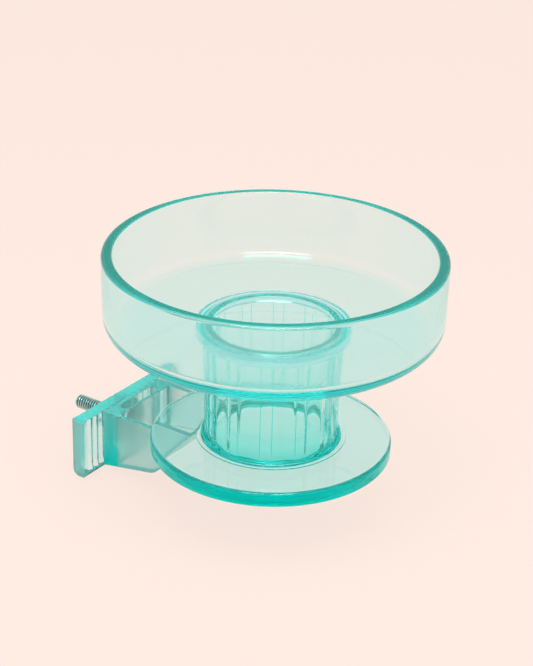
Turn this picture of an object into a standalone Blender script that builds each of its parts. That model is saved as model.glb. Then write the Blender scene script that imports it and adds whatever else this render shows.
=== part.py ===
"""Cage bird bath: a clear dish on a fluted column, carried by an arm that clamps to cage wires.

The rib crests that press on the wires lie in the plane X = 0, and the stud's axis is the X axis.
+X points from the cage wall to the dish, and +Z is up.
"""

import math

import bmesh
import bpy
from mathutils import Vector

MM = 0.001

# Running gap between pieces that touch or plug together
FIT_GAP = 0.3 * MM

# Dish
DISH_RADIUS = 70.0 * MM
DISH_HEIGHT = 34.2 * MM
DISH_WALL = 4.5 * MM
DISH_FLOOR = 5.4 * MM
DISH_TAPER = 0.3 * MM
DISH_CORNER = 8.9 * MM
DISH_INNER_CORNER = 2.6 * MM
RIM_ROUND = 0.7 * MM

# Column
COLUMN_RADIUS = 28.0 * MM
COLUMN_WALL = 2.8 * MM
COLUMN_HEIGHT = 47.5 * MM
FLUTE_COUNT = 12
FLUTE_DEPTH = 1.0 * MM
LAND_WIDTH = 4.9 * MM
FLUTE_RUNOUT = 0.8 * MM
PLAIN_FOOT = 1.5 * MM
PLAIN_TOP = 3.7 * MM

# Collars that take the column's ends: a deep one under the dish, and a low one on the disc
COLLAR_WALL = 3.4 * MM
DISH_COLLAR_HEIGHT = 4.0 * MM
DISH_COLLAR_ROUND = 1.4 * MM
DISC_COLLAR_HEIGHT = 1.2 * MM
DISC_COLLAR_ROUND = 0.5 * MM

# Base disc
DISC_RADIUS = 50.6 * MM
DISC_THICKNESS = 6.0 * MM
DISC_ROUND = 1.0 * MM
DISC_LOWER_ROUND = 0.5 * MM

# Arm, an open tray that runs from the clamp plate to under the disc
ARM_CLEAR = 24.8 * MM
ARM_WIDTH = 39.2 * MM
ARM_WALL = 2.5 * MM
ARM_FLOOR = 1.4 * MM
ARM_DEPTH = 27.0 * MM
HEEL_INSET = 3.4 * MM
HEEL_DEPTH = 21.8 * MM
HEEL_ROUND = 7.0 * MM
TOE_INSET = 23.3 * MM

# Core pocket in the arm's end wall, with plastic left on every side of it
POCKET_WIDTH = 4.5 * MM
POCKET_SIDE = 7.7 * MM
POCKET_FLOOR = 7.4 * MM
POCKET_ROUND = 1.5 * MM
OUTER_LIP = 2.1 * MM
INNER_LIP = 1.4 * MM

# Clamp plate with upright ribs on its cage side
PLATE_LENGTH = 65.8 * MM
PLATE_HEIGHT = 27.6 * MM
PLATE_CORE = 5.2 * MM
PLATE_LOWER_ROUND = 3.0 * MM
PLATE_UPPER_ROUND = 0.6 * MM
RIB_HEIGHT = 0.5 * MM
RIB_PITCH = 3.8 * MM
RIB_CREST = 1.8 * MM
RIB_ROOT = 1.0 * MM

# Threaded stud, a quarter inch across with 20 threads to the inch, set into the plate
STUD_RADIUS = 3.175 * MM
STUD_REACH = 24.4 * MM
STUD_WEB = 0.7 * MM
STUD_CHAMFER = 0.8 * MM
STUD_DROP = 13.1 * MM

# Washer
WASHER_RADIUS = 10.0 * MM
WASHER_THICKNESS = 1.2 * MM
WASHER_ROUND = 0.25 * MM

# Wing nut
BOSS_WALL = 1.5 * MM
BOSS_FLARE = 1.0 * MM
BOSS_HEIGHT = 5.4 * MM
WING_SPAN = 24.0 * MM
WING_HEIGHT = 8.6 * MM
WING_WIDTH = 5.6 * MM
WING_FOOT = 1.2 * MM
WING_GAP = 1.4 * MM
WING_ROUND = 1.8 * MM
WING_THICKNESS = 1.9 * MM

# Sides of the round pieces
LARGE_STEPS = 64
SMALL_STEPS = 32
FLUTE_STEPS = 5
ARC_STEPS = 4
CORNER_STEPS = 6
EDGE_STEPS = 2

# Heights and reaches that follow from the sizes above
DISC_UNDERSIDE = STUD_DROP
DISC_TOP = DISC_UNDERSIDE + DISC_THICKNESS
COLUMN_FOOT = DISC_TOP + FIT_GAP
COLUMN_TOP = COLUMN_FOOT + COLUMN_HEIGHT
DISH_UNDERSIDE = COLUMN_TOP + FIT_GAP
COLLAR_BORE = COLUMN_RADIUS + FIT_GAP
COLLAR_RADIUS = COLLAR_BORE + COLLAR_WALL
PLATE_BACK = RIB_HEIGHT + PLATE_CORE
DISC_EDGE = PLATE_BACK + ARM_CLEAR
ARM_REACH = DISC_EDGE + DISC_RADIUS
ARM_START = PLATE_BACK + FIT_GAP
ARM_TOP = DISC_UNDERSIDE - FIT_GAP
ARM_LOW = DISC_UNDERSIDE - ARM_DEPTH
STUD_HOLE = STUD_RADIUS + FIT_GAP
STUD_SEAT = PLATE_BACK - STUD_WEB - FIT_GAP
BOSS_TOP_RADIUS = STUD_HOLE + BOSS_WALL
WASHER_FACE = -FIT_GAP - WASHER_THICKNESS
NUT_FACE = WASHER_FACE - FIT_GAP


def clear_scene():
    for old in list(bpy.data.objects):
        bpy.data.objects.remove(old, do_unlink=True)


def finish(name, colour, roughness, metallic, alpha):
    """A Principled material for one piece."""
    made = bpy.data.materials.new(name)
    made.use_nodes = True
    shader = made.node_tree.nodes["Principled BSDF"]
    shader.inputs["Base Color"].default_value = (*colour, 1.0)
    shader.inputs["Roughness"].default_value = roughness
    shader.inputs["Metallic"].default_value = metallic
    shader.inputs["Alpha"].default_value = alpha
    return made


def clear_plastic(name):
    return finish(name, colour=(0.17, 0.66, 0.60), roughness=0.06, metallic=0.0, alpha=0.35)


def zinc_steel(name):
    return finish(name, colour=(0.50, 0.53, 0.52), roughness=0.32, metallic=1.0, alpha=1.0)


def add_object(name, bm, material=None):
    """An object made from a bmesh, with its faces turned outwards."""
    bmesh.ops.recalc_face_normals(bm, faces=bm.faces[:])
    mesh = bpy.data.meshes.new(name)
    bm.to_mesh(mesh)
    bm.free()
    made = bpy.data.objects.new(name, mesh)
    bpy.context.scene.collection.objects.link(made)
    if material:
        mesh.materials.append(material)
    mesh.shade_smooth()
    mesh.set_sharp_from_angle(angle=math.radians(30))
    return made


def arc(centre, radius, start, end, steps=ARC_STEPS):
    """Points on a circle in a profile's plane, angles in degrees from its first axis."""
    points = []
    for i in range(steps + 1):
        angle = math.radians(start + (end - start) * i / steps)
        points.append((centre[0] + radius * math.cos(angle), centre[1] + radius * math.sin(angle)))
    return points


def turned(name, profile, material, steps, closed=False):
    """A profile of (radius, height) points turned about Z; its outer side runs from top to bottom."""
    bm = bmesh.new()
    points = [bm.verts.new((radius, 0.0, height)) for radius, height in profile]
    for first, second in zip(points, points[1:]):
        bm.edges.new((first, second))
    if closed:
        bm.edges.new((points[-1], points[0]))
    mesh = bpy.data.meshes.new(name)
    bm.to_mesh(mesh)
    bm.free()
    made = bpy.data.objects.new(name, mesh)
    bpy.context.scene.collection.objects.link(made)
    mesh.materials.append(material)
    screw = made.modifiers.new("Turn", "SCREW")
    screw.steps = steps
    screw.render_steps = steps
    screw.use_merge_vertices = True
    screw.merge_threshold = 0.00001
    screw.use_smooth_shade = True
    return made


def prism(name, outline, low, high, place, material=None):
    """A closed outline pushed straight along one axis; place puts (a, b, along) into X, Y, Z."""
    bm = bmesh.new()
    face = bm.faces.new([bm.verts.new(place(a, b, low)) for a, b in outline])
    pushed = bmesh.ops.extrude_face_region(bm, geom=[face])
    shift = Vector(place(0.0, 0.0, high)) - Vector(place(0.0, 0.0, low))
    moved = [item for item in pushed["geom"] if isinstance(item, bmesh.types.BMVert)]
    bmesh.ops.translate(bm, vec=shift, verts=moved)
    return add_object(name, bm, material)


def along_x(a, b, x):
    """Outline in Y and Z, pushed along X."""
    return (x, a, b)


def along_y(a, b, y):
    """Outline in X and Z, pushed along Y."""
    return (a, y, b)


def along_z(a, b, z):
    """Outline in X and Y, pushed along Z."""
    return (a, b, z)


def rounded_corner(before, corner, after, radius, steps=ARC_STEPS):
    """The arc that replaces a corner of an outline, tangent to both of its sides."""
    corner = Vector(corner)
    back = (Vector(before) - corner).normalized()
    on = (Vector(after) - corner).normalized()
    half = back.angle(on) / 2.0
    centre = corner + (back + on).normalized() * (radius / math.sin(half))
    start = corner + back * (radius / math.tan(half)) - centre
    end = corner + on * (radius / math.tan(half)) - centre
    sweep = start.angle_signed(end)
    points = []
    for i in range(steps + 1):
        angle = -sweep * i / steps
        turn_cos = math.cos(angle)
        turn_sin = math.sin(angle)
        spoke = Vector((start.x * turn_cos - start.y * turn_sin, start.x * turn_sin + start.y * turn_cos))
        points.append(tuple(centre + spoke))
    return points


def rounded_outline(corners, radii):
    """An outline with each corner rounded by its own radius."""
    points = []
    count = len(corners)
    for i, (corner, radius) in enumerate(zip(corners, radii)):
        if radius > 0.0:
            points += rounded_corner(corners[i - 1], corner, corners[(i + 1) % count], radius)
        else:
            points.append(corner)
    return points


def boolean(target, tool, operation):
    """A Boolean modifier whose tool stays in the file as a hidden guide."""
    tool.hide_render = True
    tool.display_type = "WIRE"
    cut = target.modifiers.new(tool.name, "BOOLEAN")
    cut.operation = operation
    cut.object = tool
    cut.solver = "EXACT"
    return cut


def collar_section(base, height, edge_round):
    """A collar's section from its outer foot to its inner foot, up or down from height base."""
    direction = math.copysign(1.0, height)
    top = base + height
    centre_height = top - direction * edge_round
    outer = arc((COLLAR_RADIUS - edge_round, centre_height), edge_round, 0, direction * 90)
    return [(COLLAR_RADIUS, base), *outer, (COLLAR_BORE, top), (COLLAR_BORE, base)]


def make_dish():
    floor_top = DISH_UNDERSIDE + DISH_FLOOR
    rim = DISH_UNDERSIDE + DISH_HEIGHT
    foot_radius = DISH_RADIUS - DISH_TAPER
    inner_rim = DISH_RADIUS - DISH_WALL
    inner_foot = foot_radius - DISH_WALL
    profile = [(0.0, floor_top)]
    inner_centre = (inner_foot - DISH_INNER_CORNER, floor_top + DISH_INNER_CORNER)
    profile += arc(inner_centre, DISH_INNER_CORNER, -90, 0)
    profile += arc((inner_rim + RIM_ROUND, rim - RIM_ROUND), RIM_ROUND, 180, 90)
    profile += arc((DISH_RADIUS - RIM_ROUND, rim - RIM_ROUND), RIM_ROUND, 90, 0)
    corner_centre = (foot_radius - DISH_CORNER, DISH_UNDERSIDE + DISH_CORNER)
    profile += arc(corner_centre, DISH_CORNER, 0, -90, CORNER_STEPS)
    profile += collar_section(DISH_UNDERSIDE, -DISH_COLLAR_HEIGHT, DISH_COLLAR_ROUND)
    profile.append((0.0, DISH_UNDERSIDE))
    dish = turned("dish", profile, clear_plastic("dish_plastic"), LARGE_STEPS)
    dish.location.x = ARM_REACH
    return dish


def fluted_ring(bm, height, depth):
    """One outline of the column: lands on its radius, and hollow flutes between them."""
    land = LAND_WIDTH / COLUMN_RADIUS
    pitch = 2.0 * math.pi / FLUTE_COUNT
    points = []
    for flute in range(FLUTE_COUNT):
        start = flute * pitch + land / 2.0
        width = pitch - land
        for step in range(FLUTE_STEPS + 1):
            share = step / FLUTE_STEPS
            radius = COLUMN_RADIUS - depth * math.sin(math.pi * share)
            angle = start + width * share
            points.append(bm.verts.new((radius * math.cos(angle), radius * math.sin(angle), height)))
    return points


def bore_ring(bm, outer, radius):
    """A round outline with one point under each point of an outer ring."""
    points = []
    for point in outer:
        flat = Vector((point.co.x, point.co.y, 0.0)).normalized() * radius
        points.append(bm.verts.new((flat.x, flat.y, point.co.z)))
    return points


def make_column():
    heights = [
        (COLUMN_FOOT, 0.0),
        (COLUMN_FOOT + PLAIN_FOOT, 0.0),
        (COLUMN_FOOT + PLAIN_FOOT + FLUTE_RUNOUT, FLUTE_DEPTH),
        (COLUMN_TOP - PLAIN_TOP - FLUTE_RUNOUT, FLUTE_DEPTH),
        (COLUMN_TOP - PLAIN_TOP, 0.0),
        (COLUMN_TOP, 0.0),
    ]
    bm = bmesh.new()
    rings = [fluted_ring(bm, height, depth) for height, depth in heights]
    rings.append(bore_ring(bm, rings[-1], COLUMN_RADIUS - COLUMN_WALL))
    rings.append(bore_ring(bm, rings[0], COLUMN_RADIUS - COLUMN_WALL))
    rings.append(rings[0])
    count = len(rings[0])
    for lower, upper in zip(rings, rings[1:]):
        for i in range(count):
            after = (i + 1) % count
            bm.faces.new((lower[i], lower[after], upper[after], upper[i]))
    column = add_object("column", bm, clear_plastic("column_plastic"))
    column.location.x = ARM_REACH
    return column


def make_base_disc():
    lower_centre = (DISC_RADIUS - DISC_LOWER_ROUND, DISC_UNDERSIDE + DISC_LOWER_ROUND)
    profile = [(0.0, DISC_TOP)]
    profile += reversed(collar_section(DISC_TOP, DISC_COLLAR_HEIGHT, DISC_COLLAR_ROUND))
    profile += arc((DISC_RADIUS - DISC_ROUND, DISC_TOP - DISC_ROUND), DISC_ROUND, 90, 0)
    profile += arc(lower_centre, DISC_LOWER_ROUND, 0, -90)
    profile.append((0.0, DISC_UNDERSIDE))
    disc = turned("base_disc", profile, clear_plastic("disc_plastic"), LARGE_STEPS)
    disc.location.x = ARM_REACH
    return disc


def shifted_corner(before, corner, after, gap):
    """The corner of an outline's two sides moved inwards by a wall's thickness, inside on the left."""
    before, corner, after = Vector(before), Vector(corner), Vector(after)
    first = (corner - before).normalized()
    second = (after - corner).normalized()
    first_inward = Vector((-first.y, first.x))
    second_inward = Vector((-second.y, second.x))
    bisector = (first_inward + second_inward).normalized()
    return corner + bisector * (gap / bisector.dot(first_inward))


def make_arm():
    heel = (DISC_EDGE + HEEL_INSET, DISC_UNDERSIDE - HEEL_DEPTH)
    toe = (DISC_EDGE + TOE_INSET, ARM_TOP)
    bottom = (ARM_START, ARM_LOW)
    corners = [(ARM_START, ARM_TOP), bottom, heel, toe]
    outline = rounded_outline(corners, [0.0, 0.0, HEEL_ROUND, 0.0])
    half = ARM_WIDTH / 2.0
    arm = prism("bracket_arm", outline, -half, half, along_y, clear_plastic("arm_plastic"))

    pocket_near = ARM_START + OUTER_LIP
    pocket_far = pocket_near + POCKET_WIDTH
    end_face = pocket_far + INNER_LIP
    above = ARM_TOP + POCKET_WIDTH
    inner_heel = shifted_corner(bottom, heel, toe, ARM_FLOOR)
    floor_slope = (heel[1] - bottom[1]) / (heel[0] - bottom[0])
    toe_slope = (toe[1] - heel[1]) / (toe[0] - heel[0])
    inner_low = (end_face, inner_heel.y - (inner_heel.x - end_face) * floor_slope)
    inner_toe = (inner_heel.x + (above - inner_heel.y) / toe_slope, above)
    hollow_corners = [(end_face, above), inner_low, tuple(inner_heel), inner_toe]
    hollow_outline = rounded_outline(hollow_corners, [0.0, 0.0, max(HEEL_ROUND - ARM_FLOOR, 0.0), 0.0])
    inside = half - ARM_WALL
    hollow = prism("arm_hollow", hollow_outline, -inside, inside, along_y)
    boolean(arm, hollow, "DIFFERENCE")

    pocket_half = half - POCKET_SIDE
    pocket_corners = [
        (pocket_near, -pocket_half),
        (pocket_far, -pocket_half),
        (pocket_far, pocket_half),
        (pocket_near, pocket_half),
    ]
    pocket_outline = rounded_outline(pocket_corners, [POCKET_ROUND] * 4)
    pocket = prism("arm_pocket", pocket_outline, ARM_LOW + POCKET_FLOOR, above, along_z)
    boolean(arm, pocket, "DIFFERENCE")
    return arm


def rib_section():
    """The plate's section seen from above: a flat back and upright ribs with flat crests."""
    half = PLATE_LENGTH / 2.0
    grooves = int((PLATE_LENGTH - RIB_CREST) / RIB_PITCH)
    shoulder = (RIB_PITCH - RIB_CREST) / 2.0
    points = [(PLATE_BACK, -half), (PLATE_BACK, half), (0.0, half)]
    for i in range(grooves):
        middle = ((grooves - 1) / 2.0 - i) * RIB_PITCH
        points.append((0.0, middle + shoulder))
        points.append((RIB_HEIGHT, middle + RIB_ROOT / 2.0))
        points.append((RIB_HEIGHT, middle - RIB_ROOT / 2.0))
        points.append((0.0, middle - shoulder))
    points.append((0.0, -half))
    return points


def make_plate():
    top = DISC_UNDERSIDE
    low = top - PLATE_HEIGHT
    plate = prism("clamp_plate", rib_section(), low, top, along_z, clear_plastic("plate_plastic"))

    beyond = PLATE_BACK + FIT_GAP
    corners = [(0.0, low), (beyond, low), (beyond, top), (0.0, top)]
    radii = [PLATE_LOWER_ROUND, 0.0, 0.0, PLATE_UPPER_ROUND]
    rounding = prism("plate_rounding", rounded_outline(corners, radii), -PLATE_LENGTH, PLATE_LENGTH, along_y)
    boolean(plate, rounding, "INTERSECT")

    hole_outline = arc((0.0, 0.0), STUD_HOLE, 0, 360, SMALL_STEPS)[:-1]
    hole = prism("stud_hole", hole_outline, -PLATE_BACK, STUD_SEAT + FIT_GAP, along_x)
    boolean(plate, hole, "DIFFERENCE")
    return plate


def turn_onto_x(made):
    """Turns a piece made about Z so that its top faces -X, out of the cage side."""
    made.rotation_euler.y = math.radians(-90)
    return made


def make_stud():
    tip = STUD_REACH
    profile = [
        (0.0, tip),
        (STUD_RADIUS - STUD_CHAMFER, tip),
        (STUD_RADIUS, tip - STUD_CHAMFER),
        (STUD_RADIUS, -STUD_SEAT),
        (0.0, -STUD_SEAT),
    ]
    return turn_onto_x(turned("stud", profile, zinc_steel("stud_zinc"), SMALL_STEPS))


def make_washer():
    low = -WASHER_FACE - WASHER_THICKNESS
    high = -WASHER_FACE
    profile = [(STUD_HOLE, high)]
    profile += arc((WASHER_RADIUS - WASHER_ROUND, high - WASHER_ROUND), WASHER_ROUND, 90, 0, EDGE_STEPS)
    profile += [(WASHER_RADIUS, low), (STUD_HOLE, low)]
    return turn_onto_x(turned("washer", profile, zinc_steel("washer_zinc"), SMALL_STEPS, closed=True))


def wing_outline(side):
    """One wing seen along its thickness: it leaves the boss low and flares up to a round tip."""
    root = STUD_HOLE + BOSS_WALL / 2.0
    low = -NUT_FACE
    reach = WING_SPAN / 2.0
    tip = low + WING_HEIGHT
    corners = [
        (side * root, low + WING_FOOT),
        (side * reach, tip - WING_WIDTH),
        (side * reach, tip),
        (side * (BOSS_TOP_RADIUS + WING_GAP), tip),
        (side * root, low + BOSS_HEIGHT - WING_FOOT),
    ]
    return rounded_outline(corners, [0.0, WING_ROUND, WING_ROUND, WING_ROUND, 0.0])


def make_wing_nut():
    low = -NUT_FACE
    high = low + BOSS_HEIGHT
    foot_radius = BOSS_TOP_RADIUS + BOSS_FLARE
    profile = [(STUD_HOLE, high), (BOSS_TOP_RADIUS, high), (foot_radius, low), (STUD_HOLE, low)]
    nut = turned("wing_nut", profile, zinc_steel("nut_zinc"), SMALL_STEPS, closed=True)
    half = WING_THICKNESS / 2.0
    for name, side in (("wing_left", -1.0), ("wing_right", 1.0)):
        wing = prism(name, wing_outline(side), -half, half, along_x)
        boolean(nut, wing, "UNION")
        turn_onto_x(wing)
    return turn_onto_x(nut)


clear_scene()
make_dish()
make_column()
make_base_disc()
make_arm()
make_plate()
make_stud()
make_washer()
make_wing_nut()
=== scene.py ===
"""Looks of the cage bird bath: clear teal acrylic and a zinc-plated clamp screw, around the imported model."""

import math

import bmesh
import bpy
from mathutils import Matrix, Vector


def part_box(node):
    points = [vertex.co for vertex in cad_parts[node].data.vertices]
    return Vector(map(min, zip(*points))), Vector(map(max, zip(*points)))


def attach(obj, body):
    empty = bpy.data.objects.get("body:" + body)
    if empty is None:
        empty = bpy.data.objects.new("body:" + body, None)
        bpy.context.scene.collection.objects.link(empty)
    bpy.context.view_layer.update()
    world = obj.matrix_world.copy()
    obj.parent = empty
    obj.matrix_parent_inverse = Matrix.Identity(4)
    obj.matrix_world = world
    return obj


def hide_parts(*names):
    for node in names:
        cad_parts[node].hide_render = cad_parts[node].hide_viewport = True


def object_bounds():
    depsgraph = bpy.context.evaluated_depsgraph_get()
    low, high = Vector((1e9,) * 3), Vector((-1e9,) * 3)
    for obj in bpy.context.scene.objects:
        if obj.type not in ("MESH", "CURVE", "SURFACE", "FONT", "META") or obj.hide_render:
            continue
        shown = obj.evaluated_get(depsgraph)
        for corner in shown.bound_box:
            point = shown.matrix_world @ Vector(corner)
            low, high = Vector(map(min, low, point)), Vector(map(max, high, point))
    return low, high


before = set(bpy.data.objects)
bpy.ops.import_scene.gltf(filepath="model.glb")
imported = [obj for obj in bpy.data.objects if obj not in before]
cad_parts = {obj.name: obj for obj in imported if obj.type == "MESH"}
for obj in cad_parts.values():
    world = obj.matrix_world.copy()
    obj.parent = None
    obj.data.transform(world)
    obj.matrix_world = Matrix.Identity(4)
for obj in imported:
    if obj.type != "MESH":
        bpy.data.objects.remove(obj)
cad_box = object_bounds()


# Clamp plate: the ribbed face that grips the upright cage wires, moulded in clear teal acrylic.
# The grooves between its ribs keep the wires from sliding, and its lower edge is rounded off.
# It is bonded to the arm's end wall.
MM = 0.001
touch = 0.01 * MM
near = 0.1 * MM
weld = 0.001 * MM


def at(value, target, reach=touch):
    """True where a coordinate lies on a plane."""
    return abs(value - target) < reach


def start_piece(name, add, **size):
    """Adds a primitive, puts its place into its mesh and opens it in edit mode with nothing selected."""
    bpy.ops.object.select_all(action="DESELECT")
    add(**size)
    piece = bpy.context.object
    piece.name = name
    piece.data.name = name
    bpy.ops.object.transform_apply(location=True, rotation=True, scale=True)
    bpy.ops.object.mode_set(mode="EDIT")
    bpy.ops.mesh.select_all(action="DESELECT")
    return piece


def pick(piece, kind, test):
    """Selects the verts, edges or faces of a piece in edit mode whose corners all pass a test."""
    modes = {"verts": "VERT", "edges": "EDGE", "faces": "FACE"}
    bpy.ops.mesh.select_mode(type=modes[kind])
    bpy.ops.mesh.select_all(action="DESELECT")
    shape = bmesh.from_edit_mesh(piece.data)
    for item in getattr(shape, kind):
        corners = [item] if kind == "verts" else item.verts
        if all(test(corner.co) for corner in corners):
            item.select_set(True)
    shape.select_flush_mode()
    bmesh.update_edit_mesh(piece.data)


def move(x=0.0, y=0.0, z=0.0):
    bpy.ops.transform.translate(value=(x, y, z))


def bevel(width, steps):
    bpy.ops.mesh.bevel(offset=width, segments=steps, profile=0.5, affect="EDGES", clamp_overlap=True)


def score(place, across):
    """Draws a line of edges right round a piece, where a plane meets it."""
    bpy.ops.mesh.select_all(action="SELECT")
    bpy.ops.mesh.bisect(plane_co=place, plane_no=across)


def finish_piece(piece, material, body, node):
    """Smooths the rounded edges, keeps the flats flat, and puts the piece in its node's place."""
    bpy.ops.mesh.select_all(action="SELECT")
    bpy.ops.mesh.remove_doubles(threshold=weld)
    bpy.ops.mesh.normals_make_consistent(inside=False)
    bpy.ops.object.mode_set(mode="OBJECT")
    bpy.ops.object.shade_smooth()
    flats = piece.modifiers.new("Flat faces stay flat", "WEIGHTED_NORMAL")
    flats.weight = 100
    flats.keep_sharp = False
    bpy.ops.object.modifier_apply(modifier=flats.name)
    piece.data.materials.clear()
    piece.data.materials.append(material)
    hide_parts(node)
    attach(piece, body)


def mark_points(piece, name, amount):
    """Notes an amount at each point of a piece, for its material to read."""
    marks = piece.data.attributes.new(name, "FLOAT", "POINT")
    for point, mark in zip(piece.data.vertices, marks.data):
        mark.value = amount(point.co)


def linear(code):
    """An sRGB hex colour as linear values."""
    values = [int(code[i:i + 2], 16) / 255.0 for i in (1, 3, 5)]
    return tuple(v / 12.92 if v <= 0.04045 else ((v + 0.055) / 1.055) ** 2.4 for v in values)


def add_node(tree, kind, settings=None, **links):
    """Adds a node, sets its properties and sockets, and links its inputs."""
    node = tree.nodes.new(kind)
    for name, value in (settings or {}).items():
        if name in node.inputs:
            node.inputs[name].default_value = value
        else:
            setattr(node, name, value)
    for name, source in links.items():
        tree.links.new(source, node.inputs[name.replace("_", " ")])
    return node


# Teal acrylic, injection moulded: almost clear through one wall. The deep teal along its edges, where the
# light has come a long way through it, is painted glow; the teal painted deeper in some places is painted
# shade, and a teal painted into its gloss is a painted reflection. Its edges turn milky, its drawn walls are a
# little hazy, and the faint waves and smears of a moulded surface bend and dull what shows through it.
acrylic_ior = 1.49
acrylic_per_metre = (42.0, 1.8, 2.0)
painted_glow_teal = linear("#00F4EA")
painted_dark_teal = linear("#009E90")
clear_wall = linear("#FFFFFF")
edge_stop = 0.6
smear_size = 30.0 * MM
smear_low = 0.35
smear_high = 0.65
wave_size = 14.0 * MM
wave_height = 0.04 * MM


def teal_acrylic(name, smooth, dull, deeper, milky_from, edge_clear):
    """Clear acrylic, smooth to dull in smears, with deeper times the colour that acrylic_per_metre gives.

    The points' painted_glow_and_shade paints teal glow and shade on it and clouds it, painted_teal_reflection
    paints a teal reflection into its gloss, and wall_haze dulls it.
    It clouds from the depth milky_from on, down to the share edge_clear of its clearness at a depth of 1.
    """
    made = bpy.data.materials.new(name)
    made.use_nodes = True
    tree = made.node_tree
    surface = tree.nodes["Principled BSDF"]
    surface.inputs["IOR"].default_value = acrylic_ior
    place = add_node(tree, "ShaderNodeTexCoord")
    # Painted glow and shade: a teal set by the points' marks, standing in for light and shade in the acrylic.
    depth = add_node(tree, "ShaderNodeAttribute", {"attribute_name": "painted_glow_and_shade"})
    colour = add_node(tree, "ShaderNodeValToRGB", Fac=depth.outputs["Fac"])
    stops = colour.color_ramp.elements
    stops[0].color = (*clear_wall, 1.0)
    stops[1].color = (*painted_dark_teal, 1.0)
    stops.new(edge_stop).color = (*painted_glow_teal, 1.0)
    tree.links.new(colour.outputs["Color"], surface.inputs["Base Color"])
    # Painted reflection: where the points are marked, the gloss is painted teal.
    shine = add_node(tree, "ShaderNodeAttribute", {"attribute_name": "painted_teal_reflection"})
    gloss = add_node(tree, "ShaderNodeMixRGB", {"Color2": (*painted_glow_teal, 1.0)}, Fac=shine.outputs["Fac"])
    tree.links.new(colour.outputs["Color"], gloss.inputs["Color1"])
    tree.links.new(gloss.outputs["Color"], surface.inputs["Specular Tint"])
    milky = {"From Min": milky_from, "To Min": 1.0, "To Max": edge_clear}
    clear = add_node(tree, "ShaderNodeMapRange", milky, Value=depth.outputs["Fac"])
    tree.links.new(clear.outputs["Result"], surface.inputs["Transmission Weight"])
    smear = add_node(tree, "ShaderNodeTexNoise", {"Scale": 1.0 / smear_size}, Vector=place.outputs["Object"])
    smeared = {"From Min": smear_low, "From Max": smear_high, "To Min": smooth, "To Max": dull}
    rough = add_node(tree, "ShaderNodeMapRange", smeared, Value=smear.outputs["Fac"])
    haze = add_node(tree, "ShaderNodeAttribute", {"attribute_name": "wall_haze"})
    hazed = add_node(tree, "ShaderNodeMath", {"operation": "ADD"})
    tree.links.new(rough.outputs["Result"], hazed.inputs[0])
    tree.links.new(haze.outputs["Fac"], hazed.inputs[1])
    tree.links.new(hazed.outputs["Value"], surface.inputs["Roughness"])
    wave = add_node(tree, "ShaderNodeTexNoise", {"Scale": 1.0 / wave_size}, Vector=place.outputs["Object"])
    waves = {"Strength": 1.0, "Distance": wave_height}
    bump = add_node(tree, "ShaderNodeBump", waves, Height=wave.outputs["Fac"])
    tree.links.new(bump.outputs["Normal"], surface.inputs["Normal"])
    strongest = deeper * max(acrylic_per_metre)
    tint = tuple(1.0 - deeper * share / strongest for share in acrylic_per_metre)
    absorb = add_node(tree, "ShaderNodeVolumeAbsorption", {"Color": (*tint, 1.0), "Density": strongest})
    tree.links.new(absorb.outputs["Volume"], tree.nodes["Material Output"].inputs["Volume"])
    return made


# Milky acrylic: light scatters in the plate's ribbed top and at its ends, which look cloudy. Their teal is
# painted: painted glow, with the ribs painted deeper than the grooves as stripes of painted shade.
plate_acrylic = teal_acrylic(
    "Moulded teal acrylic, milky", smooth=0.08, dull=0.14, deeper=1.2, milky_from=0.0, edge_clear=0.0
)
plate_rib_depth = 0.52
plate_groove_depth = 0.4
plate_end_depth = 0.24
plate_end_haze = 0.25

plate_low, plate_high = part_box("clamp_plate")
rib_height = 0.5 * MM
rib_runout = 1.2 * MM
rib_top_height = 0.2 * MM
rib_pitch = 3.8 * MM
rib_crest = 1.8 * MM
rib_root = 1.0 * MM
plate_lower_round = 3.0 * MM
plate_edge_round = 0.35 * MM
plate_size = plate_high - plate_low
plate = start_piece(
    "ribbed_clamp_plate",
    bpy.ops.mesh.primitive_cube_add,
    size=1.0,
    location=(plate_low + plate_high) / 2.0,
    scale=plate_size,
)
pick(plate, "edges", lambda co: at(co.x, plate_low.x) and at(co.z, plate_low.z))
bevel(plate_lower_round, steps=8)
pick(plate, "edges", lambda co: at(co.x, plate_low.x) and at(co.z, plate_high.z))
bevel(plate_edge_round, steps=3)
grooves = int((plate_size.y - rib_crest) / rib_pitch)
groove_middles = [((grooves - 1) / 2.0 - i) * rib_pitch for i in range(grooves)]
groove_half = (rib_pitch - rib_crest) / 2.0
for middle in groove_middles:
    for offset in (-groove_half, -rib_root / 2.0, rib_root / 2.0, groove_half):
        score((0.0, middle + offset, 0.0), (0.0, 1.0, 0.0))
score((0.0, 0.0, plate_high.z - rib_runout), (0.0, 0.0, 1.0))


def in_groove(co):
    return any(abs(co.y - middle) < rib_root / 2.0 + touch for middle in groove_middles)


def on_groove_root(co):
    return in_groove(co) and co.x < plate_low.x + plate_lower_round - near


runout_middle = plate_high.z - rib_runout / 2.0
pick(plate, "verts", lambda co: on_groove_root(co) and co.z < runout_middle)
move(x=rib_height)
pick(plate, "verts", lambda co: on_groove_root(co) and co.z > runout_middle)
move(x=rib_top_height)
finish_piece(plate, plate_acrylic, "bracket", "clamp_plate")


# Painted glow and shade: teal on the ribs' tops, lighter in the grooves, and on the plate's ends.
def plate_depth(co):
    if at(co.z, plate_high.z):
        return plate_groove_depth if in_groove(co) else plate_rib_depth
    return plate_end_depth if at(abs(co.y), plate_high.y) else 0.0


mark_points(plate, "painted_glow_and_shade", plate_depth)
mark_points(plate, "wall_haze", lambda co: plate_end_haze if at(abs(co.y), plate_high.y) else 0.0)


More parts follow.
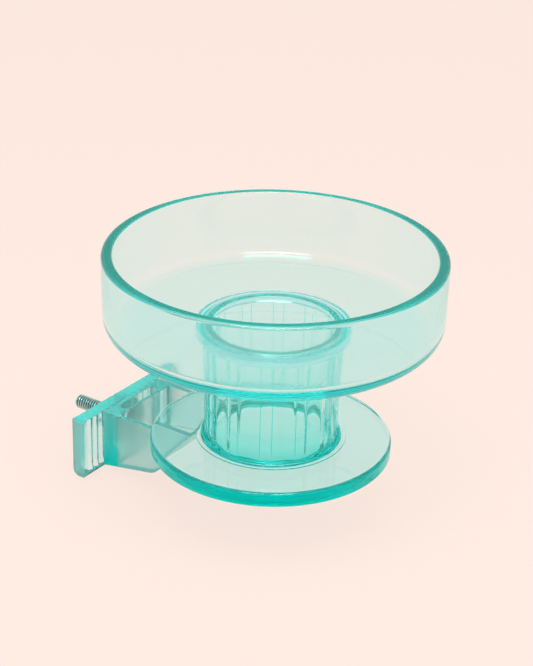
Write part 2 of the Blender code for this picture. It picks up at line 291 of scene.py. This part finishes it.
# Threaded stud: a quarter-inch screw with 20 threads to the inch, rolled from zinc-plated steel.
# Its inner end is set in the plate, and the wing nut runs along its free end.
def drop_edges(piece, test):
    """Takes the edges whose two ends pass a test out of the selection."""
    shape = bmesh.from_edit_mesh(piece.data)
    for edge in shape.edges:
        if test(edge.verts[0].co, edge.verts[1].co):
            edge.select_set(False)
    bmesh.update_edit_mesh(piece.data)


stud_low, stud_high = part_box("stud")
stud_radius = (stud_high.z - stud_low.z) / 2.0
stud_sides = 48
stud_cuts = (90, 2)
stud_chamfer = 0.8 * MM
thread_pitch = 1.27 * MM
thread_depth = 0.78 * MM
crest_share = 1.0 / 16.0
root_share = 3.0 / 8.0
quarter_turn = math.radians(90.0)
stud = start_piece(
    "threaded_stud",
    bpy.ops.mesh.primitive_cylinder_add,
    vertices=stud_sides,
    radius=stud_radius,
    depth=stud_high.x - stud_low.x,
    location=((stud_low.x + stud_high.x) / 2.0, 0.0, 0.0),
    rotation=(0.0, quarter_turn, 0.0),
)
for cuts in stud_cuts:
    pick(stud, "edges", lambda co: True)
    drop_edges(stud, lambda first, second: at(first.x, second.x))
    bpy.ops.mesh.subdivide(number_cuts=cuts)
shape = bmesh.from_edit_mesh(stud.data)
for corner in shape.verts:
    turn = math.atan2(corner.co.z, corner.co.y) / (2.0 * math.pi)
    along = (corner.co.x / thread_pitch - turn) % 1.0
    from_crest = min(along, 1.0 - along)
    share = min(max((from_crest - crest_share) / (root_share - crest_share), 0.0), 1.0)
    chamfer = max(stud_chamfer - (corner.co.x - stud_low.x), 0.0)
    radius_share = 1.0 - max(thread_depth * share, chamfer) / stud_radius
    corner.co.y *= radius_share
    corner.co.z *= radius_share
bmesh.update_edit_mesh(stud.data)

# Zinc plate on steel: a cool grey metal that mirrors softly, cloudy where the plating took unevenly,
# and with painted shade darkening the roots of its thread. The clouds are drawn coarser than the real grain.
zinc_dull = linear("#B6D8D6")
zinc_bright = linear("#E2F4F2")
painted_root_shade = linear("#486E70")
cloud_size = 2.2 * MM
cloud_low = 0.3
cloud_high = 0.7
dull_roughness = 0.38
bright_roughness = 0.2
grain_size = 0.25 * MM
grain_height = 0.004 * MM
zinc_steel = bpy.data.materials.new("Zinc-plated steel")
zinc_steel.use_nodes = True
tree = zinc_steel.node_tree
surface = tree.nodes["Principled BSDF"]
surface.inputs["Metallic"].default_value = 1.0
place = add_node(tree, "ShaderNodeTexCoord")
cloud = add_node(tree, "ShaderNodeTexNoise", {"Scale": 1.0 / cloud_size}, Vector=place.outputs["Object"])
colour = add_node(tree, "ShaderNodeValToRGB", Fac=cloud.outputs["Fac"])
stops = colour.color_ramp.elements
stops[0].position = cloud_low
stops[0].color = (*zinc_dull, 1.0)
stops[1].position = cloud_high
stops[1].color = (*zinc_bright, 1.0)
roots = add_node(tree, "ShaderNodeAttribute", {"attribute_name": "thread_root"})
# Painted shade: the roots of the thread are darkened.
root_shade_tint = add_node(tree, "ShaderNodeMixRGB", {"Color2": (*painted_root_shade, 1.0)}, Fac=roots.outputs["Fac"])
tree.links.new(colour.outputs["Color"], root_shade_tint.inputs["Color1"])
tree.links.new(root_shade_tint.outputs["Color"], surface.inputs["Base Color"])
clouded = {"To Min": dull_roughness, "To Max": bright_roughness}
rough = add_node(tree, "ShaderNodeMapRange", clouded, Value=cloud.outputs["Fac"])
tree.links.new(rough.outputs["Result"], surface.inputs["Roughness"])
grain = add_node(tree, "ShaderNodeTexNoise", {"Scale": 1.0 / grain_size}, Vector=place.outputs["Object"])
grains = {"Strength": 1.0, "Distance": grain_height}
bump = add_node(tree, "ShaderNodeBump", grains, Height=grain.outputs["Fac"])
tree.links.new(bump.outputs["Normal"], surface.inputs["Normal"])
finish_piece(stud, zinc_steel, "bracket", "stud")


# How deep each point lies in the free part of the thread, which sets the painted shade in its roots.
def thread_root(co):
    stands_free = stud_low.x + near < co.x < plate_low.x
    return (stud_radius - co.yz.length) / thread_depth if stands_free else 0.0


mark_points(stud, "thread_root", thread_root)


# Bracket arm: an open tray that carries the disc, moulded in the same acrylic with thin walls that cool
# evenly. Its end wall is thick, so a core pocket hollows it. It is bonded under the disc and to the plate.
def extrude(x=0.0, y=0.0, z=0.0):
    bpy.ops.mesh.extrude_region_move(TRANSFORM_OT_translate={"value": (x, y, z)})


arm_low, arm_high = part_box("bracket_arm")
arm_wall = 2.5 * MM
arm_floor = 1.4 * MM
arm_end_wall = 8.0 * MM
heel_from_toe = 19.9 * MM
heel_rise = 5.2 * MM
heel_round_run = 2.32 * MM
inner_heel_run = 1.85 * MM
arm_edge_round = 0.35 * MM
arm_sharp = math.radians(30.0)
pocket_width = 4.5 * MM
pocket_near = 2.1 * MM
pocket_half = 11.9 * MM
pocket_floor = 7.4 * MM
pocket_round = 1.5 * MM
end_wall_fade = 0.5 * MM
arm_size = arm_high - arm_low
arm = start_piece(
    "bracket_arm_tray",
    bpy.ops.mesh.primitive_cube_add,
    size=1.0,
    location=(arm_low + arm_high) / 2.0,
    scale=arm_size,
)
heel = Vector((arm_high.x - heel_from_toe, 0.0, arm_low.z + heel_rise))
pick(arm, "verts", lambda co: at(co.x, arm_high.x) and at(co.z, arm_low.z))
move(x=heel.x - arm_high.x, z=heel_rise)
toe_slope = (arm_high.z - heel.z) / heel_from_toe
floor_slope = heel_rise / (heel.x - arm_low.x)
toe_lift = arm_floor * math.hypot(1.0, toe_slope)
floor_lift = arm_floor * math.hypot(1.0, floor_slope)
inner_end = arm_low.x + arm_end_wall
inner_toe = heel.x + (arm_high.z - heel.z - toe_lift) / toe_slope
inner_heel_x = heel.x + (floor_lift - toe_lift) / (toe_slope - floor_slope)
inner_heel_z = heel.z + floor_lift + (inner_heel_x - heel.x) * floor_slope
inner_low_z = arm_low.z + floor_lift + arm_end_wall * floor_slope


def on_arm_top(co):
    return at(co.z, arm_high.z)


pick(arm, "faces", on_arm_top)
bpy.ops.mesh.inset(thickness=arm_wall)
pick(arm, "verts", lambda co: on_arm_top(co) and at(co.x, arm_low.x + arm_wall))
move(x=arm_end_wall - arm_wall)
pick(arm, "verts", lambda co: on_arm_top(co) and at(co.x, arm_high.x - arm_wall))
move(x=inner_toe - arm_high.x + arm_wall)
inside = arm_high.y - arm_wall + touch
pick(arm, "faces", lambda co: on_arm_top(co) and abs(co.y) < inside and co.x > inner_end - touch)
extrude(z=inner_heel_z - arm_high.z)
pick(arm, "verts", lambda co: at(co.z, inner_heel_z) and at(co.x, inner_toe))
move(x=inner_heel_x - inner_toe)
pick(arm, "verts", lambda co: at(co.z, inner_heel_z) and at(co.x, inner_end))
move(z=inner_low_z - inner_heel_z)
pick(arm, "faces", lambda co: on_arm_top(co) and co.x < inner_end + touch)
bpy.ops.mesh.inset(thickness=pocket_near)
pocket_z = arm_low.z + pocket_floor


def on_pocket_rim(co):
    from_plate = co.x - arm_low.x
    return on_arm_top(co) and pocket_near / 2.0 < from_plate < arm_end_wall - pocket_near / 2.0


shape = bmesh.from_edit_mesh(arm.data)
for corner in shape.verts:
    if on_pocket_rim(corner.co):
        far = corner.co.x > arm_low.x + arm_end_wall / 2.0
        corner.co.x = arm_low.x + pocket_near + (pocket_width if far else 0.0)
        corner.co.y = math.copysign(pocket_half, corner.co.y)
bmesh.update_edit_mesh(arm.data)
pick(arm, "faces", on_pocket_rim)
extrude(z=pocket_z - arm_high.z)
pick(arm, "edges", lambda co: at(abs(co.y), pocket_half) and arm_low.x < co.x < inner_end)
drop_edges(arm, lambda first, second: at(first.z, second.z))
bevel(pocket_round, steps=6)
for cut in (inner_end, inner_end + end_wall_fade):
    score((cut, 0.0, 0.0), (1.0, 0.0, 0.0))
pick(arm, "edges", lambda co: at(co.x, heel.x) and at(co.z, heel.z))
bevel(heel_round_run, steps=8)
pick(arm, "edges", lambda co: at(co.x, inner_heel_x) and at(co.z, inner_heel_z))
bevel(inner_heel_run, steps=6)
bpy.ops.mesh.select_mode(type="EDGE")
bpy.ops.mesh.select_all(action="DESELECT")
bpy.ops.mesh.edges_select_sharp(sharpness=arm_sharp)
bevel(arm_edge_round, steps=3)
# Satin acrylic: the arm's sides are dull, so that what lies behind them is blurred.
satin_acrylic = teal_acrylic(
    "Moulded teal acrylic, satin", smooth=0.20, dull=0.26, deeper=0.8, milky_from=0.0, edge_clear=0.45
)
finish_piece(arm, satin_acrylic, "bracket", "bracket_arm")

# Painted glow: teal painted on the arm's top and sides and on its end wall, deeper on the end wall's lower
# half.
arm_top_depth = 0.5
arm_side_depth = 0.25
end_wall_top_depth = 0.42
end_wall_low_depth = 0.62
arm_side_haze = 0.15


def arm_depth(co):
    if not at(abs(co.y), arm_high.y):
        return arm_top_depth if on_arm_top(co) else 0.0
    if co.x > inner_end + near:
        return arm_side_depth
    return end_wall_top_depth if co.z > 0.0 else end_wall_low_depth


mark_points(arm, "painted_glow_and_shade", arm_depth)
mark_points(arm, "wall_haze", lambda co: arm_side_haze if at(abs(co.y), arm_high.y) else 0.0)


# Base disc: a round moulding of the same acrylic, with a low collar whose lip and skirt ring the
# column's foot. Its outer edge is softly rounded; a deep teal painted on it and on the seat under the
# column is painted glow. It is bonded on top of the arm.
round_sides = 512
ring_touch = 0.05 * MM
disc_low, disc_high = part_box("base_disc")
disc_radius = (disc_high.x - disc_low.x) / 2.0
column_axis = Vector(((disc_low.x + disc_high.x) / 2.0, 0.0, 0.0))
fit_gap = 0.3 * MM
disc_collar_height = 1.2 * MM
collar_wall = 3.4 * MM
column_radius = 28.0 * MM
collar_bore = column_radius + fit_gap
collar_radius = collar_bore + collar_wall
collar_edge_round = 0.3 * MM
skirt_width = 1.7 * MM
skirt_height = 0.4 * MM
skirt_round = 0.2 * MM
lip_width = 0.9 * MM
seat_width = 4.4 * MM
seat_fade = 0.3 * MM
disc_thickness = disc_high.z - disc_low.z - disc_collar_height
disc_top = disc_low.z + disc_thickness
disc_round = 1.8 * MM
disc_lower_round = 0.5 * MM


def radius_of(co):
    return math.hypot(co.x - column_axis.x, co.y)


def pick_collar(piece, height):
    """Selects the flat ring that a collar grows from, without the many-sided round face inside it."""
    lowest, highest = collar_bore - near, collar_radius + near
    pick(piece, "faces", lambda co: at(co.z, height) and lowest < radius_of(co) < highest)
    shape = bmesh.from_edit_mesh(piece.data)
    for face in shape.faces:
        if len(face.verts) > 4:
            face.select_set(False)
    bmesh.update_edit_mesh(piece.data)


def round_ring(piece, height, radius, width, steps):
    """Rounds off a ring of edges at a height and a radius."""
    pick(piece, "edges", lambda co: at(co.z, height) and at(radius_of(co), radius, ring_touch))
    bevel(width, steps)


disc = start_piece(
    "base_disc_with_collar",
    bpy.ops.mesh.primitive_cylinder_add,
    vertices=round_sides,
    radius=disc_radius,
    depth=disc_thickness,
    location=(column_axis.x, 0.0, disc_low.z + disc_thickness / 2.0),
)
pick(disc, "faces", lambda co: at(co.z, disc_top))
slope_width = collar_wall - skirt_width - lip_width
for ring in (disc_radius - collar_radius, skirt_width, slope_width, lip_width, seat_width, seat_fade):
    bpy.ops.mesh.inset(thickness=ring)
pick_collar(disc, disc_top)
extrude(z=skirt_height)
lip_radius = collar_bore + lip_width
skirt_top = disc_top + skirt_height
pick(disc, "verts", lambda co: at(co.z, skirt_top) and radius_of(co) < lip_radius + near)
move(z=disc_collar_height - skirt_height)
round_ring(disc, skirt_top, collar_radius, skirt_round, steps=3)
round_ring(disc, disc_high.z, lip_radius, collar_edge_round, steps=3)
round_ring(disc, disc_high.z, collar_bore, collar_edge_round, steps=3)
round_ring(disc, disc_top, disc_radius, disc_round, steps=6)
round_ring(disc, disc_low.z, disc_radius, disc_lower_round, steps=4)
# Thick acrylic: smooth and clear, and the deepest in colour. Part of that is the disc's thickness, and part is
# painted shade: a darker copy of the acrylic, standing in for the teal shadow under the disc.
disc_acrylic = teal_acrylic(
    "Moulded teal acrylic, thick", smooth=0.01, dull=0.04, deeper=1.4, milky_from=0.4, edge_clear=0.4
)
finish_piece(disc, disc_acrylic, "bracket", "base_disc")

# Painted glow: deep teal on the disc's outer edge and on the seat under the column, a paler teal on the bore's
# floor.
disc_edge_depth = 0.6
seat_depth = 0.75
bore_floor_depth = 0.2


def disc_depth(co):
    if radius_of(co) > disc_radius - disc_lower_round / 2.0:
        return disc_edge_depth
    if co.z < disc_top - touch or radius_of(co) > lip_radius + near:
        return 0.0
    return seat_depth if radius_of(co) > collar_bore - seat_width - near else bore_floor_depth


mark_points(disc, "painted_glow_and_shade", disc_depth)


# Column: a hollow tube with shallow flutes between narrow lands, moulded in the same acrylic.
# Its plain ends plug into the collars on the disc and under the dish.
column_low, column_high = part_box("column")
flute_count = 12
flute_sides = 36
flute_lengths = 12
flute_depth = 1.0 * MM
land_width = 4.9 * MM
flute_runout = 0.8 * MM
plain_foot = 1.5 * MM
plain_top = 3.7 * MM
column_wall = 2.8 * MM
column_edge_round = 0.3 * MM
wall_touch = 0.5 * MM
column_height = column_high.z - column_low.z
column = start_piece(
    "fluted_column",
    bpy.ops.mesh.primitive_cylinder_add,
    vertices=flute_count * flute_sides,
    radius=column_radius,
    depth=column_height,
    end_fill_type="NOTHING",
    location=(column_axis.x, 0.0, (column_low.z + column_high.z) / 2.0),
)
pick(column, "edges", lambda co: at(co.z, column_high.z))
bore_share = (column_radius - column_wall) / column_radius
centre_top = (column_axis.x, 0.0, column_high.z)
extrude()
bpy.ops.transform.resize(value=(bore_share, bore_share, 1.0), center_override=centre_top)
extrude(z=-column_height)
pick(column, "edges", lambda co: at(co.z, column_low.z))
bpy.ops.mesh.bridge_edge_loops()
foot_end = column_low.z + plain_foot
fluted = (foot_end + flute_runout, column_high.z - plain_top - flute_runout)
fluted_height = fluted[1] - fluted[0]
between = [fluted[0] + fluted_height * i / flute_lengths for i in range(flute_lengths + 1)]
for height in (foot_end, *between, column_high.z - plain_top):
    score((0.0, 0.0, height), (0.0, 0.0, 1.0))
pitch = 2.0 * math.pi / flute_count
land = land_width / column_radius
shape = bmesh.from_edit_mesh(column.data)
for corner in shape.verts:
    if not fluted[0] - touch < corner.co.z < fluted[1] + touch:
        continue
    turn = math.atan2(corner.co.y, corner.co.x - column_axis.x)
    share = (turn % pitch - land / 2.0) / (pitch - land)
    if 0.0 < share < 1.0:
        radius = radius_of(corner.co) - flute_depth * math.sin(math.pi * share)
        corner.co.x = column_axis.x + radius * math.cos(turn)
        corner.co.y = radius * math.sin(turn)
bmesh.update_edit_mesh(column.data)
pick(column, "edges", lambda co: at(co.z, column_low.z) or at(co.z, column_high.z))
drop_edges(column, lambda first, second: not at(radius_of(first), radius_of(second), wall_touch))
bevel(column_edge_round, steps=3)
# Deep acrylic: smooth flutes that draw what lies behind them into streaks, with teal painted on the lands'
# edges as painted glow.
column_acrylic = teal_acrylic(
    "Moulded teal acrylic, deep", smooth=0.01, dull=0.04, deeper=0.95, milky_from=0.4, edge_clear=0.4
)
finish_piece(column, column_acrylic, "column", "column")

# Painted glow and shade: teal painted on the column's ends, its foot band and the lands' edges is painted
# glow; the teal painted in the bore, deepest at the foot and fading upwards, is painted shade.
column_end_depths = (0.3, 0.6)
bore_foot_depth = 0.54
bore_fade = 0.5 * column_height
foot_band_depth = 0.5
land_edge_depth = 0.62


def column_depth(co):
    for end, depth in zip((column_low.z, column_high.z), column_end_depths):
        if at(co.z, end):
            return depth
    if radius_of(co) < column_radius - column_wall / 2.0:
        return bore_foot_depth * max(1.0 - (co.z - column_low.z) / bore_fade, 0.0)
    if not fluted[0] < co.z < fluted[1]:
        return foot_band_depth if co.z < foot_end + touch else 0.0
    angle = math.atan2(co.y, co.x - column_axis.x) % pitch
    from_land_edge = min(abs(angle - land / 2.0), abs(pitch - angle - land / 2.0))
    return land_edge_depth if from_land_edge * column_radius < near else 0.0


mark_points(column, "painted_glow_and_shade", column_depth)


# Dish: the water bowl, a deep round tray moulded in the same acrylic, with a rounded foot and a flat
# polished rim. A short collar under its floor drops over the column's top, so it lifts off for cleaning.
dish_low, dish_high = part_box("dish")
dish_radius = (dish_high.x - dish_low.x) / 2.0
dish_collar_height = 4.0 * MM
dish_collar_round = 1.4 * MM
dish_foot = dish_low.z + dish_collar_height
dish_height = dish_high.z - dish_foot
dish_taper = 0.3 * MM
dish_wall = 4.5 * MM
dish_floor = 5.4 * MM
dish_corner = 8.9 * MM
dish_inner_corner = 2.6 * MM
rim_round = 0.7 * MM
rim_outer_round = 1.4 * MM
dish = start_piece(
    "water_dish",
    bpy.ops.mesh.primitive_cone_add,
    vertices=round_sides,
    radius1=dish_radius - dish_taper,
    radius2=dish_radius,
    depth=dish_height,
    location=(column_axis.x, 0.0, dish_foot + dish_height / 2.0),
)
floor_top = dish_foot + dish_floor
pick(dish, "faces", lambda co: at(co.z, dish_high.z))
bpy.ops.mesh.inset(thickness=dish_wall)
inner_rim = dish_radius - dish_wall
extrude(z=floor_top - dish_high.z)
taper_share = (inner_rim - dish_taper) / inner_rim
centre_floor = (column_axis.x, 0.0, floor_top)
bpy.ops.transform.resize(value=(taper_share, taper_share, 1.0), center_override=centre_floor)
pick(dish, "edges", lambda co: at(co.z, floor_top))
bevel(dish_inner_corner, steps=14)
pick(dish, "edges", lambda co: at(co.z, dish_foot))
bevel(dish_corner, steps=24)
round_ring(dish, dish_high.z, dish_radius, rim_outer_round, steps=10)
round_ring(dish, dish_high.z, inner_rim, rim_round, steps=6)
pick(dish, "faces", lambda co: at(co.z, dish_foot))
foot_flat = dish_radius - dish_taper - dish_corner
bpy.ops.mesh.inset(thickness=foot_flat - collar_radius)
bpy.ops.mesh.inset(thickness=collar_wall)
pick_collar(dish, dish_foot)
extrude(z=-dish_collar_height)
round_ring(dish, dish_low.z, collar_radius, dish_collar_round, steps=8)
round_ring(dish, dish_low.z, collar_bore, collar_edge_round, steps=3)
# Polished acrylic: smooth and the clearest at its edges, with a deep teal painted on its rim as painted glow
# and a teal painted into the gloss of its foot as a painted reflection.
clear_acrylic = teal_acrylic(
    "Moulded teal acrylic, polished", smooth=0.01, dull=0.04, deeper=0.95, milky_from=0.4, edge_clear=0.6
)
finish_piece(dish, clear_acrylic, "dish", "dish")

# Painted glow on the rim and the collar's foot, and a painted teal reflection on the lower foot; the wall haze
# only dulls.
rim_depth = 1.0
dish_collar_depth = 0.7
foot_shine = 1.0
foot_shine_height = 0.7 * dish_corner
dish_wall_haze = 0.07


def dish_depth(co):
    if at(co.z, dish_high.z):
        return rim_depth
    return dish_collar_depth if at(co.z, dish_low.z) else 0.0


def dish_shine(co):
    from_corner = math.hypot(radius_of(co) - foot_flat, co.z - dish_foot - dish_corner)
    on_foot = at(from_corner, dish_corner, near) and radius_of(co) > foot_flat + near
    return foot_shine if on_foot and co.z < dish_foot + foot_shine_height else 0.0


def dish_haze(co):
    on_wall = dish_foot + dish_corner - near < co.z < dish_high.z - rim_outer_round + near
    return dish_wall_haze if on_wall and radius_of(co) > inner_rim + dish_wall / 2.0 else 0.0


mark_points(dish, "painted_glow_and_shade", dish_depth)
mark_points(dish, "painted_teal_reflection", dish_shine)
mark_points(dish, "wall_haze", dish_haze)


# Washer: a ring stamped from zinc-plated steel, rounded on one side where the punch went in.
# It spreads the push of the wing nut over the cage wires, and slides along the stud.
washer_low, washer_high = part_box("washer")
washer_radius = (washer_high.z - washer_low.z) / 2.0
washer_sides = 96
washer_round = 0.25 * MM
washer_edge_round = washer_round / 3.0
stud_hole = stud_radius + fit_gap
washer = start_piece(
    "stamped_washer",
    bpy.ops.mesh.primitive_cylinder_add,
    vertices=washer_sides,
    radius=washer_radius,
    depth=washer_high.x - washer_low.x,
    end_fill_type="NOTHING",
    location=((washer_low.x + washer_high.x) / 2.0, 0.0, 0.0),
    rotation=(0.0, quarter_turn, 0.0),
)


def bore_from(piece, start, end, outer):
    """Closes a ring's start down to the stud's hole, runs the hole to its end and closes that."""
    pick(piece, "edges", lambda co: at(co.x, start))
    extrude()
    share = stud_hole / outer
    bpy.ops.transform.resize(value=(1.0, share, share), center_override=(start, 0.0, 0.0))
    extrude(x=end - start)
    pick(piece, "edges", lambda co: at(co.x, end))
    bpy.ops.mesh.bridge_edge_loops()


def round_ends(piece, start, end, width, steps):
    """Rounds off the rings of edges at a ring's two ends."""
    pick(piece, "edges", lambda co: at(co.x, start) or at(co.x, end))
    drop_edges(piece, lambda first, second: not at(first.yz.length, second.yz.length, near))
    bevel(width, steps)


bore_from(washer, washer_low.x, washer_high.x, washer_radius)
pick(washer, "edges", lambda co: at(co.x, washer_low.x) and co.yz.length > washer_radius - near)
bevel(washer_round, steps=5)
round_ends(washer, washer_low.x, washer_high.x, washer_edge_round, steps=2)
finish_piece(washer, zinc_steel, "washer", "washer")


# Wing nut: steel, formed in one piece with two flared wings, zinc plated, and turned by hand.
# It runs on the stud and pushes the washer against the cage wires.
nut_low, nut_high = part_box("wing_nut")
boss_sides = 64
boss_wall = 1.5 * MM
boss_top_radius = stud_hole + boss_wall
boss_foot_radius = (nut_high.z - nut_low.z) / 2.0
boss_height = 5.4 * MM
boss_edge_round = 0.3 * MM
boss_top = nut_high.x - boss_height
wing_foot = 1.2 * MM
wing_width = 5.6 * MM
wing_gap = 1.4 * MM
wing_round = 1.8 * MM
wing_thickness = 1.9 * MM
wing_edge_round = 0.45 * MM
wing_sharp = math.radians(60.0)
wing_root = stud_hole + boss_wall / 2.0
nut = start_piece(
    "wing_nut_body",
    bpy.ops.mesh.primitive_cone_add,
    vertices=boss_sides,
    radius1=boss_foot_radius,
    radius2=boss_top_radius,
    depth=boss_height,
    end_fill_type="NOTHING",
    location=((nut_high.x + boss_top) / 2.0, 0.0, 0.0),
    rotation=(0.0, -quarter_turn, 0.0),
)
bore_from(nut, boss_top, nut_high.x, boss_top_radius)
round_ends(nut, boss_top, nut_high.x, boss_edge_round, steps=3)
bpy.ops.object.mode_set(mode="OBJECT")
wing_low = nut_high.x - wing_foot
wings = start_piece(
    "wing_pair",
    bpy.ops.mesh.primitive_cube_add,
    size=1.0,
    location=((nut_low.x + wing_low) / 2.0, (wing_root + nut_high.y) / 2.0, 0.0),
    scale=(wing_low - nut_low.x, nut_high.y - wing_root, wing_thickness),
)
wing_shoulder = boss_top_radius + wing_gap
score((0.0, wing_shoulder, 0.0), (0.0, 1.0, 0.0))
pick(wings, "verts", lambda co: at(co.y, wing_root) and at(co.x, nut_low.x))
move(x=boss_top + wing_foot - nut_low.x)
wing_rise = nut_low.x + wing_width - wing_low
pick(wings, "verts", lambda co: at(co.y, nut_high.y) and at(co.x, wing_low))
move(x=wing_rise)
lean = wing_rise / (nut_high.y - wing_root)
pick(wings, "verts", lambda co: at(co.y, wing_shoulder) and at(co.x, wing_low))
move(x=lean * (wing_shoulder - wing_root))
pick(wings, "edges", lambda co: co.y > wing_root + near)
drop_edges(wings, lambda first, second: at(first.z, second.z))
drop_edges(wings, lambda first, second: at(first.y, wing_shoulder) and first.x > boss_top)
bevel(wing_round, steps=6)
bpy.ops.mesh.select_mode(type="EDGE")
bpy.ops.mesh.select_all(action="DESELECT")
bpy.ops.mesh.edges_select_sharp(sharpness=wing_sharp)
drop_edges(wings, lambda first, second: at(first.y, wing_root) and at(second.y, wing_root))
bevel(wing_edge_round, steps=4)
bpy.ops.mesh.select_all(action="SELECT")
bpy.ops.mesh.duplicate()
bpy.ops.transform.rotate(value=math.pi, orient_axis="X", center_override=(0.0, 0.0, 0.0))
bpy.ops.mesh.select_all(action="SELECT")
bpy.ops.mesh.normals_make_consistent(inside=False)
bpy.ops.object.mode_set(mode="OBJECT")
bpy.ops.object.select_all(action="DESELECT")
nut.select_set(True)
bpy.context.view_layer.objects.active = nut
join = nut.modifiers.new("Wings joined on", "BOOLEAN")
join.operation = "UNION"
join.solver = "EXACT"
join.object = wings
bpy.ops.object.modifier_apply(modifier=join.name)
bpy.data.objects.remove(wings, do_unlink=True)
bpy.ops.object.mode_set(mode="EDIT")
finish_piece(nut, zinc_steel, "wing_nut", "wing_nut")


# Studio: a plain pale tent all round, a wide pale floor, one soft lamp above, and the photograph's view.
# The tent is the floor's colour near the ground, a cooler grey at its sides and a neutral grey on top.
# The floor glows in its own colour, and a small matt share of it takes the shadow.
backdrop_colour = linear("#FEEAE1")
tent_side = linear("#D2E2DE")
tent_top = linear("#DCDAD8")
tent_foot = 0.05
tent_peak = 0.95
tent_heights = ((0.3, tent_side), (0.65, tent_side), (0.8, tent_top))
world = bpy.data.worlds.new("Pale studio")
bpy.context.scene.world = world
world.use_nodes = True
tree = world.node_tree
tree.nodes.clear()
way = add_node(tree, "ShaderNodeTexCoord")
parts = add_node(tree, "ShaderNodeSeparateXYZ", Vector=way.outputs["Generated"])
heights = add_node(tree, "ShaderNodeValToRGB", Fac=parts.outputs["Z"])
stops = heights.color_ramp.elements
stops[0].position = tent_foot
stops[0].color = (*backdrop_colour, 1.0)
stops[1].position = tent_peak
stops[1].color = (*tent_top, 1.0)
for height, colour in tent_heights:
    stops.new(height).color = (*colour, 1.0)
tent = add_node(tree, "ShaderNodeBackground", {"Strength": 1.0}, Color=heights.outputs["Color"])
add_node(tree, "ShaderNodeOutputWorld", Surface=tent.outputs["Background"])

floor_size = 40.0
floor_drop = 2.0 * MM
shadow_share = 0.12
bpy.ops.mesh.primitive_plane_add(size=floor_size, location=(0.0, 0.0, cad_box[0].z - floor_drop))
floor = bpy.context.object
floor.name = "studio_floor"
paper = bpy.data.materials.new("Pale paper")
paper.use_nodes = True
tree = paper.node_tree
tree.nodes.clear()
glow = add_node(tree, "ShaderNodeEmission", {"Color": (*backdrop_colour, 1.0), "Strength": 1.0})
matt = add_node(tree, "ShaderNodeBsdfDiffuse", {"Color": (*backdrop_colour, 1.0)})
both = add_node(tree, "ShaderNodeMixShader", {"Fac": shadow_share})
tree.links.new(glow.outputs["Emission"], both.inputs[1])
tree.links.new(matt.outputs["BSDF"], both.inputs[2])
add_node(tree, "ShaderNodeOutputMaterial", Surface=both.outputs["Shader"])
floor.data.materials.append(paper)

image_height = 666
focal_pixels = 1820.6
view_azimuth = math.radians(34.248)
view_elevation = math.radians(25.888)
view_distance = 744.8 * MM
view_roll = math.radians(1.523)
view_aim = Vector((78.70 * MM, -1.63 * MM, 65.35 * MM))
lamp_elevation = math.radians(66.0)
lamp_distance = 0.9
lamp_length = 0.55
lamp_width = 0.35
lamp_watts = 5.0


def from_aim(elevation):
    """The way from the aim towards the viewer's side, at an elevation."""
    return Vector((
        math.sin(view_azimuth) * math.cos(elevation),
        -math.cos(view_azimuth) * math.cos(elevation),
        math.sin(elevation),
    ))


bpy.ops.object.camera_add()
camera = bpy.context.object
camera.name = "photo_view"
camera.data.sensor_fit = "VERTICAL"
camera.data.sensor_height = 36.0
camera.data.lens = focal_pixels * camera.data.sensor_height / image_height
camera.data.clip_start = 0.01
view_way = from_aim(view_elevation)
facing = (-view_way).to_track_quat("-Z", "Y").to_matrix() @ Matrix.Rotation(view_roll, 3, "Z")
camera.matrix_world = Matrix.Translation(view_aim + view_way * view_distance) @ facing.to_4x4()
bpy.context.scene.camera = camera

lamp_way = from_aim(lamp_elevation)
bpy.ops.object.light_add(type="AREA", location=view_aim + lamp_way * lamp_distance)
lamp = bpy.context.object
lamp.name = "softbox"
lamp.rotation_euler = (-lamp_way).to_track_quat("-Z", "Y").to_euler()
lamp.data.shape = "RECTANGLE"
lamp.data.size = lamp_length
lamp.data.size_y = lamp_width
lamp.data.energy = lamp_watts

wall_crossings = 128
scene = bpy.context.scene
scene.view_settings.view_transform = "Standard"
scene.cycles.max_bounces = wall_crossings
scene.cycles.transmission_bounces = wall_crossings
scene.cycles.glossy_bounces = wall_crossings
